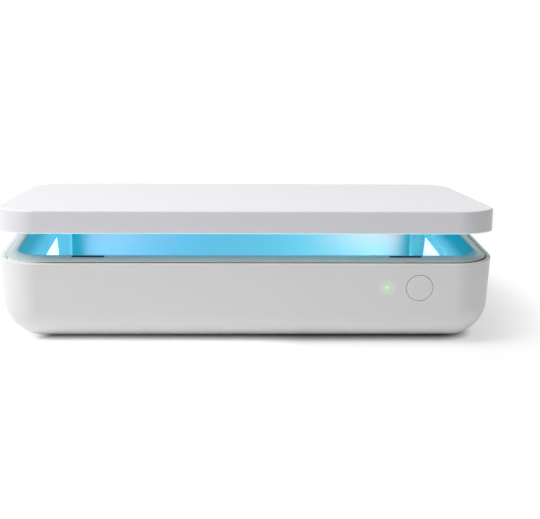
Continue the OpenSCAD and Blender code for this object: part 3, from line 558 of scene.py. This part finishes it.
# What is fitted to them
pad_grey = moulded("pad_grey", (0.5, 0.58, 0.6), rough=(0.5, 0.6), grain=2500.0, relief=0.04)
rubber_grey = moulded("rubber_grey", (0.27, 0.3, 0.31), rough=(0.6, 0.75), vary=0.1, relief=0.04)
rubber_dark = moulded("rubber_dark", (0.012, 0.03, 0.045), rough=(0.5, 0.65), vary=0.15, relief=0.04)
lamp_plastic = moulded("lamp_plastic", (0.78, 0.78, 0.75), rough=(0.45, 0.6))
ferrite = moulded("ferrite", (0.02, 0.02, 0.022), rough=(0.5, 0.7), vary=0.2)
board_green = moulded("board_green", (0.01, 0.09, 0.035), rough=(0.3, 0.45), vary=0.25)
component_black = moulded("component_black", (0.01, 0.01, 0.012), rough=(0.4, 0.6), vary=0.2)
transformer_yellow = moulded("transformer_yellow", (0.55, 0.36, 0.03), rough=(0.35, 0.5), vary=0.1)
lead_black = moulded("lead_black", (0.01, 0.01, 0.012), rough=(0.35, 0.5), vary=0.2)
copper = metal("copper", (0.7, 0.28, 0.12))
steel = metal("steel", (0.55, 0.56, 0.58))
bright = metal("reflector", (0.85, 0.86, 0.88), rough=(0.08, 0.15))
nickel = metal("nickel", (0.6, 0.59, 0.56), rough=(0.12, 0.2))
end_light = glowing("end_light", (0.4, 0.45, 0.5), (0.8, 0.95, 1.0), (0.03, 0.03, 0.03))
lid_light = glowing("lid_light", (0.4, 0.45, 0.5), (0.5, 0.8, 0.95), (0.02, 0.12, 0.7))
tube_light = glowing("tube_light", (0.5, 0.6, 0.7), (1.0, 1.6, 1.8), (0.1, 0.2, 0.3))
green_light = glowing("green_light", (0.3, 0.6, 0.32), (0.42, 0.55, 0.4), (0.02, 0.05, 0.02))

# The CAD nodes that stay, by their finish
CAD_FINISHES = (
    (steel, "power_inlet", "hinge_brackets", "hinge_washers", "lid_hinge_leaves", "hinge_pins", "case_screws",
     "board_screws", "bracket_screws", "panel_screws", "leaf_screws"),
    (lamp_plastic, "end_lamp_sockets", "end_lamp_cradles", "lid_lamp_sockets", "lid_lamp_cradle"),
    (bright, "end_lamp_reflectors", "lid_lamp_reflector"),
    (tube_light, "end_lamp_tubes", "lid_lamp_tube"),
    (end_light, "end_lamp_windows"),
    (lid_light, "lid_lamp_window"),
    (panel_white, "lid_inner_panel"),
    (rubber_grey, "lid_seal", "grip_ring"),
    (rubber_dark, "rubber_feet"),
    (pad_grey, "charging_pad"),
    (copper, "charging_coil"),
    (ferrite, "coil_ferrite"),
    (nickel, "lid_magnet"),
    (board_green, "main_board", "driver_board", "inlet_board", "button_board"),
    (component_black, "main_board_parts", "button_switch", "switch_plunger", "lid_sensor"),
    (transformer_yellow, "driver_parts"),
    (green_light, "status_led"),
    (lead_black, "lamp_lead_base", "lamp_lead_lid"),
)
for finish, *names in CAD_FINISHES:
    for name in names:
        NODES[name].data.materials.clear()
        NODES[name].data.materials.append(finish)


# The tub

RIM_ROUND = 0.35
RIM_BAND = 0.5
HOLE_ROUND = 0.25
HOLE_DEPTH = 4.0
LIGHT_BORE_R = 0.95
LIGHT_BORE_ROUND = 0.12
FOOT_SEAT_GAP = 0.05
FOOT_SEAT_H = 1.0
INLET_GAP_X = 0.3
INLET_GAP_Z = 0.25
INLET_OUT = 3.0
INLET_CUT = 8.0


def tub_section():
    """From the middle of the underside, up the outside, over the rim and down the inside."""
    middle_z = TUB_Z + BOTTOM_R
    middle = (wall_u(middle_z, BOTTOM_R), middle_z)
    draft = math.degrees(TUB_DRAFT)
    round_z = RIM_Z - RIM_ROUND
    inner = wall_u(RIM_Z, TUB_WALL)
    outside = arc(middle, BOTTOM_R, -90, -draft, 20)
    outside += [(wall_u(round_z - RIM_BAND, 0), round_z - RIM_BAND)]
    rim = arc((CORNER_R - RIM_ROUND, round_z), RIM_ROUND, 0, 90, 6)
    rim += arc((inner + RIM_ROUND, round_z), RIM_ROUND, 90, 180, 4)
    inside = arc(middle, BOTTOM_R - TUB_WALL, -draft, -90, 12)
    return outside + rim + inside


def hole_cutter(radius, flare):
    """A bore with a flared mouth at height 0."""
    mouth = arc((radius + flare, -flare), flare, 180, 90, 6)
    return revolve([(radius, -HOLE_DEPTH), *mouth, (radius + flare, PAST)])


def inlet_cutter():
    """The slot for the power inlet in the rear wall."""
    width = inlet_high.x - inlet_low.x + 2 * INLET_GAP_X
    height = inlet_high.z - inlet_low.z + 2 * INLET_GAP_Z
    middle = (0, BOX_D / 2 + INLET_OUT, (inlet_low.z + inlet_high.z) / 2)
    slot = prism(stadium(width, height), 0, INLET_CUT)
    return moved(slot, Matrix.Translation(middle) @ Matrix.Rotation(math.pi / 2, 4, "X"))


def foot_cutters():
    """The seats of the four feet in the underside."""
    foot_high = box_mm("rubber_feet")[1]
    seat_r = FOOT_R + FOOT_SEAT_GAP
    return [moved(revolve([(seat_r, -2 * PAST), (seat_r, FOOT_SEAT_H)]),
                  Matrix.Translation((sx * (foot_high.x - FOOT_R), sy * (foot_high.y - FOOT_R), TUB_Z)))
            for sx in SIDES for sy in SIDES]


def make_tub():
    tub = to_object(loft(tub_section()), "tub_shell")
    cut(tub, [
        moved(hole_cutter(BUTTON_R + BUTTON_GAP, HOLE_ROUND), on_front(BUTTON_AT)),
        moved(hole_cutter(LIGHT_BORE_R, LIGHT_BORE_ROUND), on_front(LIGHT_AT)),
        inlet_cutter(),
        *foot_cutters(),
    ])
    finish_piece(tub, "tub", tub_white, "base_shell")


make_tub()


# The bezel round the chamber's mouth, and its bumpers

CREST_R = 0.9
CREST_T = 2.0
SKIRT_FOOT = 0.7
SEAM_SHOWN = 0.5
SEAM_LEDGE = 0.8
SEAM_DEPTH = 0.7
EDGE_ROUND = 0.05
COVE_GAP = 0.55
NECK_HALF = 5.5
NECK_FRONT = 2.1
REAR_SKIN = 1.9
LEAD_X = 62.5
LEAD_HALF = 1.0
POCKET_GAP = 0.05
# How much wider than itself a bumper is at each depth under its top
BUMPER_TOP = ((0, 0.25), (-0.1, 0.08), (-0.3, 0))

bumper_w = bumper_high.y - bumper_low.y
bumper_x = bumper_high.x - BUMPER_L / 2
bumper_y = (bumper_low.y + bumper_high.y) / 2


def bezel_section():
    """Up the outer edge, over the slope and the crest, and down the inside of the mouth."""
    crest = (chamber_u(CREST_Z - CREST_R) + CREST_R / math.cos(FLARE_LEAN), CREST_Z - CREST_R)
    lean = math.degrees(FLARE_LEAN)
    edge_u = BEZEL_U + SEAM_GAP - SEAM_SHOWN
    edge_z = RIM_Z + BEZEL_STEP
    ledge_u = edge_u - SEAM_LEDGE
    slope = math.degrees(math.atan2(CREST_Z - edge_z, edge_u - crest[0]))
    outside = [(BEZEL_U - SKIRT_T, SEAT_Z), (ledge_u, SEAT_Z), (ledge_u, RIM_Z - SEAM_DEPTH)]
    outside += arc((edge_u - EDGE_ROUND, edge_z - EDGE_ROUND), EDGE_ROUND, 0, 90 - slope, 4)
    top = arc(crest, CREST_R, 90 - slope, 180 - lean, 10)
    inside = [(chamber_u(SEAT_Z), SEAT_Z), (chamber_u(SEAT_Z) + SKIRT_T, SEAT_Z)]
    hollow_z = CREST_Z - CREST_T
    hollow = [(chamber_u(hollow_z) + SKIRT_T, hollow_z), (BEZEL_U - SKIRT_T, SEAT_Z + SKIRT_FOOT)]
    return outside + top + inside + hollow


def cove_cutter():
    """The round that the lid's rear edge sweeps."""
    radius = Vector((BOX_D / 2 - PIVOT.y - REAR_RELIEF, PIVOT.z - LID_Z)).length + COVE_GAP
    along_x = Matrix.Translation((0, PIVOT.y, PIVOT.z)) @ Matrix.Rotation(math.pi / 2, 4, "Y")
    return moved(revolve([(radius, -BOX_W), (radius, BOX_W)], steps=96), along_x)


def rear_slot(middle_x, half, front):
    """A slot down through the rear of the bezel, from a distance in front of the hinge's axis."""
    return block((middle_x - half, PIVOT.y - front, SEAT_Z - PAST),
                 (middle_x + half, BOX_D / 2 - REAR_SKIN, CREST_Z + PAST))


def bumper_pocket(side):
    outer = stadium(BUMPER_L + 2 * POCKET_GAP, bumper_w + 2 * POCKET_GAP)
    pocket = prism(outer, bumper_low.z - POCKET_GAP, CREST_Z + PAST)
    return moved(pocket, Matrix.Translation((side * bumper_x, bumper_y, 0)))


def bumper(side):
    """A rubber bar with a rounded top."""
    rings = []
    for grow, z in [(0, bumper_low.z)] + [(grow, CREST_Z - depth) for grow, depth in BUMPER_TOP]:
        outer = stadium(BUMPER_L + 2 * grow, bumper_w + 2 * grow)
        rings.append([Vector((side * bumper_x + x, bumper_y + y, z)) for x, y in outer])
    return skin(rings)


def in_seam(at):
    """Whether a point of the bezel lies in the gap between it and the tub's rim."""
    return at.z < RIM_Z + BEZEL_STEP - EDGE_ROUND and not on_chamber_wall(at)


def make_bezel():
    bezel = to_object(loft(bezel_section(), closed=True), "bezel")
    cut(bezel, [
        cove_cutter(),
        *[rear_slot(side * HINGE_X, NECK_HALF, NECK_FRONT) for side in SIDES],
        rear_slot(-LEAD_X, LEAD_HALF, LEAD_HALF),
        *[bumper_pocket(side) for side in SIDES],
    ])
    finish_piece(bezel, "tub", bezel_grey, "bezel_frame")
    # Painted light on the bezel's faces along the chamber's wall
    paint(bezel, bezel_inside_painted_light, on_chamber_wall)
    # Painted shade in the seam between the bezel and the tub's rim
    paint(bezel, bezel_seam_painted_shade_and_glow, in_seam)


def make_bumpers():
    bumpers = to_object(joined(*[bumper(side) for side in SIDES]), "bezel_bumpers")
    finish_piece(bumpers, "tub", rubber_dark, "rim_bumpers")


make_bezel()
make_bumpers()


# The chamber's liner

LINER_FOOT_R = 2.0
FLOOR_EDGE = 0.5
UNDER_EDGE_IN = 1.0
UNDER_EDGE_UP = 0.6
SEAT_ROUND = 0.2
BEND = 1.5
BEND_SOFT = 0.06
POST_EDGE_R = 1.5
POST_TOP_R = 1.0
POST_INTO_WALL = 0.4
POST_SUNK = 0.5
POST_SKIN = 0.3
WINDOW_GAP = 0.05
WINDOW_CUT_IN = 3.0
WINDOW_CUT_OUT = 6.0


def liner_section():
    """From the middle of the underside, round the flange, and down inside to the floor."""
    out = LINER_WALL / math.cos(TAPER)
    flare_out = LINER_WALL / math.cos(FLARE_LEAN)
    low = CHAMBER_Z - LINER_WALL
    flange_z = SEAT_Z - FLANGE_T
    outside = [(chamber_u(low) + out - UNDER_EDGE_IN, low), (chamber_u(low) + out, low + UNDER_EDGE_UP)]
    outside += [(chamber_u(FLARE_Z) + out, FLARE_Z), (chamber_u(flange_z) + flare_out, flange_z)]
    flange = [(BEZEL_U, flange_z), (BEZEL_U, SEAT_Z), (chamber_u(SEAT_Z) + SEAT_ROUND, SEAT_Z)]
    inside = [(chamber_u(z), z) for z in (SEAT_Z - SEAT_ROUND, FLARE_Z + 2 * BEND, FLARE_Z + BEND)]
    inside += [(chamber_u(FLARE_Z) - BEND_SOFT, FLARE_Z), (chamber_u(FLARE_Z - BEND), FLARE_Z - BEND)]
    middle_z = CHAMBER_Z + LINER_FOOT_R
    middle_u = chamber_u(middle_z) - LINER_FOOT_R / math.cos(TAPER)
    inside += arc((middle_u, middle_z), LINER_FOOT_R, -math.degrees(TAPER), -90, 6)
    return outside + flange + inside + [(middle_u - FLOOR_EDGE, CHAMBER_Z)]


def post(sx, sy):
    """A corner post, its top and its upright edge rounded."""
    near_x = HALF_X + chamber_u(CHAMBER_Z) - POST_W
    near_y = HALF_Y + chamber_u(CHAMBER_Z) - POST_D
    top = CHAMBER_Z + POST_H
    far_x = HALF_X + chamber_u(top) + POST_INTO_WALL
    far_y = HALF_Y + chamber_u(top) + POST_INTO_WALL
    levels = [(0, CHAMBER_Z - POST_SUNK)]
    levels += arc((POST_TOP_R, top - POST_TOP_R), POST_TOP_R, 180, 90, 5)
    rings = []
    for shrink, z in levels:
        x, y = near_x + shrink, near_y + shrink
        edge = arc((x + POST_EDGE_R, y + POST_EDGE_R), POST_EDGE_R, 180, 270, 6)
        points = [(far_x, far_y), (x, far_y), *edge, (far_x, y)]
        rings.append([Vector((sx * px, sy * py, z)) for px, py in points])
    return skin(rings)


def liner_trim():
    """The space inside the liner's outer face, which the posts are cut to."""
    out = LINER_WALL / math.cos(TAPER) - POST_SKIN
    return loft([(chamber_u(z) + out, z) for z in (CHAMBER_Z - PAST, FLARE_Z, SEAT_Z)])


def window_cutter(side):
    half_l = WINDOW_L / 2 + WINDOW_GAP
    half_h = WINDOW_H / 2 + WINDOW_GAP
    return moved(block((-WINDOW_CUT_IN, -half_l, -half_h), (WINDOW_CUT_OUT, half_l, half_h)), end_wall(side))


def make_liner():
    liner = to_object(loft(liner_section()), "chamber_liner")
    posts = to_object(joined(*[post(sx, sy) for sx in SIDES for sy in SIDES]), "posts")
    combine(posts, "INTERSECT", to_object(liner_trim(), "trim"))
    combine(liner, "UNION", posts)
    cut(liner, [window_cutter(side) for side in SIDES])
    finish_piece(liner, "tub", chamber_white, "chamber_tray")
    paint(liner, liner_flare, lambda at: at.z > FLARE_Z and on_chamber_wall(at))


make_liner()


# The power button and the status light

BACK_BEVEL = 0.6
CAP_T = 2.2
FLANGE_GAP = 0.3
FLANGE_STEP = 0.65
FLANGE_BEVEL = 0.05
COLLAR_IN = 0.9
STEM_R = 1.5
STEM_CLEAR = 0.1
PIPE_R = 0.85
PIPE_ROUND = 0.1
PIPE_L = 5.0
PIPE_SUNK = 0.02


def cap_section(radius, round_r, low, high):
    """A round cap with a bevelled back and a rounded front edge."""
    back = [(radius - BACK_BEVEL, low), (radius, low + BACK_BEVEL / 2)]
    return back + arc((radius - round_r, high - round_r), round_r, 0, 90, 5)


def make_button():
    """The cap in the wall's bore, with a flange behind the wall and a stem that reaches to the switch."""
    flange_r = BUTTON_R + BUTTON_GAP + BUTTON_FLANGE - FLANGE_BEVEL
    collar_r = BUTTON_R - COLLAR_IN
    high = -TUB_WALL - FLANGE_GAP
    low = high - FLANGE_STEP
    stem_end = front_y(BUTTON_AT[1]) - button_high.y + STEM_CLEAR
    cap = revolve(cap_section(BUTTON_R, HOLE_ROUND, -CAP_T, 0))
    back = revolve([(STEM_R, stem_end), (STEM_R, low - FLANGE_BEVEL), (flange_r, low), (flange_r, high),
                    (collar_r, high + FLANGE_BEVEL), (collar_r, -TUB_WALL)])
    button = to_object(moved(joined(cap, back), on_front(BUTTON_AT)), "button_cap")
    finish_piece(button, "button", white, "power_button")


def make_light_tip():
    tip = revolve(cap_section(PIPE_R, PIPE_ROUND, -PIPE_L, -PIPE_SUNK), steps=32)
    finish_piece(to_object(moved(tip, on_front(LIGHT_AT)), "light_tip"),
                 "tub", green_light, "light_pipe")


make_button()
make_light_tip()


# The lid

TOP_BAND = 0.6
LIP_R = 0.3
LIP_BAND = 0.38
NOTCH_HALF = 13.0
NOTCH_FRONT = 1.2
NOTCH_UP = 0.5
RELIEF_CUT = 10.0


def lid_section():
    """From the middle of the top, down the outside, and up inside to the roof."""
    top = [(CORNER_R - LID_EDGE_R - TOP_BAND, LID_TOP_Z)]
    top += arc((CORNER_R - LID_EDGE_R, LID_TOP_Z - LID_EDGE_R), LID_EDGE_R, 90, 0, 8)
    edge = arc((CORNER_R - LID_EDGE_C, LID_Z + LID_EDGE_C), LID_EDGE_C, 0, -90, 5)
    inner = CORNER_R - LID_WALL
    lip = arc((inner + LIP_R, LID_Z + LIP_R), LIP_R, -90, -180, 4)
    return top + edge + lip + [(inner, LID_TOP_Z - LID_WALL)]


def relief_cutter():
    """The slant on the lid's lower rear edge that clears the tub as the lid opens."""
    slant = block((-2 * BOX_W, 0, -RELIEF_CUT), (2 * BOX_W, RELIEF_CUT, 0))
    edge = Matrix.Translation((0, BOX_D / 2, LID_Z + REAR_RELIEF))
    return moved(slant, edge @ Matrix.Rotation(-math.pi / 4, 4, "X"))


def notch_cutter(side):
    """The notch for a hinge in the lid's rear wall."""
    return block((side * HINGE_X - NOTCH_HALF, PIVOT.y - KNUCKLE_R - NOTCH_FRONT, LID_Z - PAST),
                 (side * HINGE_X + NOTCH_HALF, BOX_D / 2 + PAST, PIVOT.z + KNUCKLE_R + NOTCH_UP))


def on_lip(at):
    """Whether a point of the lid, as it stands ajar, lies on its lower edge."""
    return (ajar().inverted() @ at).z < LID_Z + LIP_BAND


def make_lid():
    lid = to_object(loft(lid_section()), "lid_cover")
    cut(lid, [relief_cutter(), *[notch_cutter(side) for side in SIDES]])
    lid.data.transform(Matrix.Scale(MM, 4) @ ajar() @ Matrix.Scale(1 / MM, 4))
    finish_piece(lid, "lid", lid_white, "lid_shell")
    # Painted light: the lid's lower edge takes the glowing material
    paint(lid, lid_lip_painted_glow, on_lip)


make_lid()


# Camera

CAMERA_AT = (-14.062, -520.401, 166.57)
CAMERA_YAW = math.radians(1.331)
CAMERA_PITCH = math.radians(15.367)
CAMERA_ROLL = math.radians(0.405)
IMAGE_W = 540
FOCAL_PIXELS = 1053.603
AXIS_PIXEL_X = 240


def camera_turn():
    forward = Vector((math.sin(CAMERA_YAW) * math.cos(CAMERA_PITCH),
                      math.cos(CAMERA_YAW) * math.cos(CAMERA_PITCH), -math.sin(CAMERA_PITCH)))
    right = Vector((math.cos(CAMERA_YAW), -math.sin(CAMERA_YAW), 0))
    up = right.cross(forward)
    across = right * math.cos(CAMERA_ROLL) + up * math.sin(CAMERA_ROLL)
    above = up * math.cos(CAMERA_ROLL) - right * math.sin(CAMERA_ROLL)
    return Matrix((across, above, -forward)).transposed().to_4x4()


lens = bpy.data.cameras.new("camera")
lens.sensor_width = 36
lens.lens = FOCAL_PIXELS * lens.sensor_width / IMAGE_W
lens.shift_x = (IMAGE_W / 2 - AXIS_PIXEL_X) / IMAGE_W
lens.clip_start = 10 * MM
camera = add_to_scene("camera", lens)
camera.matrix_world = Matrix.Translation(Vector(CAMERA_AT) * MM) @ camera_turn()
bpy.context.scene.camera = camera


# Light

AMBIENT = 0.237
# How much shorter and lower than its window an end window's lamp is
WINDOW_LAMP_EDGE = (4.0, 3.0)
WINDOW_LAMP_IN = 3.5
WINDOW_LAMP_POWER = 0.1
WINDOW_LAMP_SPREAD = math.radians(110)


def soft_lamp(name, at, size, level):
    """A broad round light that points at the object, and lights it as much from any distance."""
    place = Vector(at) * MM
    light = bpy.data.lights.new(name, "AREA")
    light.shape = "DISK"
    light.size = size * MM
    light.energy = level * (math.pi * place.length) ** 2
    lamp = add_to_scene(name, light)
    lamp.location = place
    lamp.rotation_euler = place.to_track_quat("Z", "Y").to_euler()


def window_lamp(side, colour):
    """The light that an end window throws along the chamber."""
    light = bpy.data.lights.new(f"end_window_light_{side}", "AREA")
    light.shape = "RECTANGLE"
    light.size = (WINDOW_L - WINDOW_LAMP_EDGE[0]) * MM
    light.size_y = (WINDOW_H - WINDOW_LAMP_EDGE[1]) * MM
    light.spread = WINDOW_LAMP_SPREAD
    light.energy = WINDOW_LAMP_POWER
    light.color = colour
    lamp = add_to_scene(light.name, light)
    middle = Vector((side * (window_high.x - WINDOW_LAMP_IN), 0, (window_low.z + window_high.z) / 2))
    inward = Matrix(((0, 0, side), (1, 0, 0), (0, side, 0))).to_4x4()
    lamp.matrix_world = Matrix.Translation(middle * MM) @ inward
    lamp.visible_camera = False


def make_world():
    """Even light on the object, and white where the camera looks past it."""
    world = bpy.data.worlds.new("world")
    bpy.context.scene.world = world
    tree = Tree(world)
    sky = tree.nodes["Background"].inputs
    tree.feed(sky["Color"], (1, 1, 1))
    tree.feed(sky["Strength"], tree.ramp(tree.seen_or_reflected(), 0, 1, AMBIENT, 1.0, kind="LINEAR"))


soft_lamp("upper_left_light", (-728, -199, 996), 620, 0.808)
soft_lamp("overhead_light", (0, 0, 1200), 600, 0.14)
window_lamp(-1, (0.19, 0.21, 0.3))
window_lamp(1, (0.24, 0.32, 0.33))
make_world()


# Floor

FLOOR_HALF = 20000
FLOOR_COLOUR = (0.95, 0.95, 0.95)
FLOOR_SHADE = (0.46, 0.46, 0.46)
# The floor's glow where the camera sees it, stronger on the left than on the right: painted light, lighter on
# the side the lamp comes from
FLOOR_GLOW = (0.8, 0.55)
FLOOR_CLEAR = (122 * MM, 162 * MM)
CONTACT_REACH = 10 * MM
CONTACT_DARK = 0.05
CONTACT_LIGHT = 0.43


def floor_material():
    """Pale floor that keeps the object's shadow near it and is plain white further out."""
    material, tree = new_material("floor")
    seen = tree.seen_or_reflected()
    # Painted contact shadow: ambient occlusion darkens the floor's colour and glow near the object, less
    # towards the left, and not at all past its left end
    closed_in = tree.nodes.new("ShaderNodeAmbientOcclusion")
    tree.feed(closed_in.inputs["Distance"], CONTACT_REACH)
    openness = tree.maths("MULTIPLY", closed_in.outputs["AO"], tree.along("x", 30, -90, 1.0, 1.3))
    contact = tree.ramp(openness, CONTACT_DARK, CONTACT_LIGHT, kind="LINEAR")
    contact = tree.maths("MAXIMUM", contact, tree.along("x", -90, -101))
    tree.set("Base Color", tree.tint(seen, FLOOR_COLOUR, tree.tint(contact, (0, 0, 0), FLOOR_SHADE)))
    tree.set("Roughness", 0.9)
    tree.set("Specular IOR Level", 0.0)
    tree.glow((1, 1, 1), tree.maths("MULTIPLY", tree.along("x", 0, 30, *FLOOR_GLOW), contact, seen))
    plain = tree.nodes.new("ShaderNodeEmission")
    mix = tree.nodes.new("ShaderNodeMixShader")
    tree.feed(mix.inputs[0], tree.maths("MULTIPLY", tree.ramp(tree.distance(), *FLOOR_CLEAR), seen))
    tree.feed(mix.inputs[1], tree.shader.outputs[0])
    tree.feed(mix.inputs[2], plain.outputs[0])
    tree.feed(tree.nodes["Material Output"].inputs["Surface"], mix.outputs[0])
    return material


floor_mesh = bmesh.new()
bmesh.ops.create_grid(floor_mesh, x_segments=1, y_segments=1, size=FLOOR_HALF)
floor = to_object(floor_mesh, "floor")
floor.data.materials.append(floor_material())

bpy.context.scene.view_settings.view_transform = "Standard"
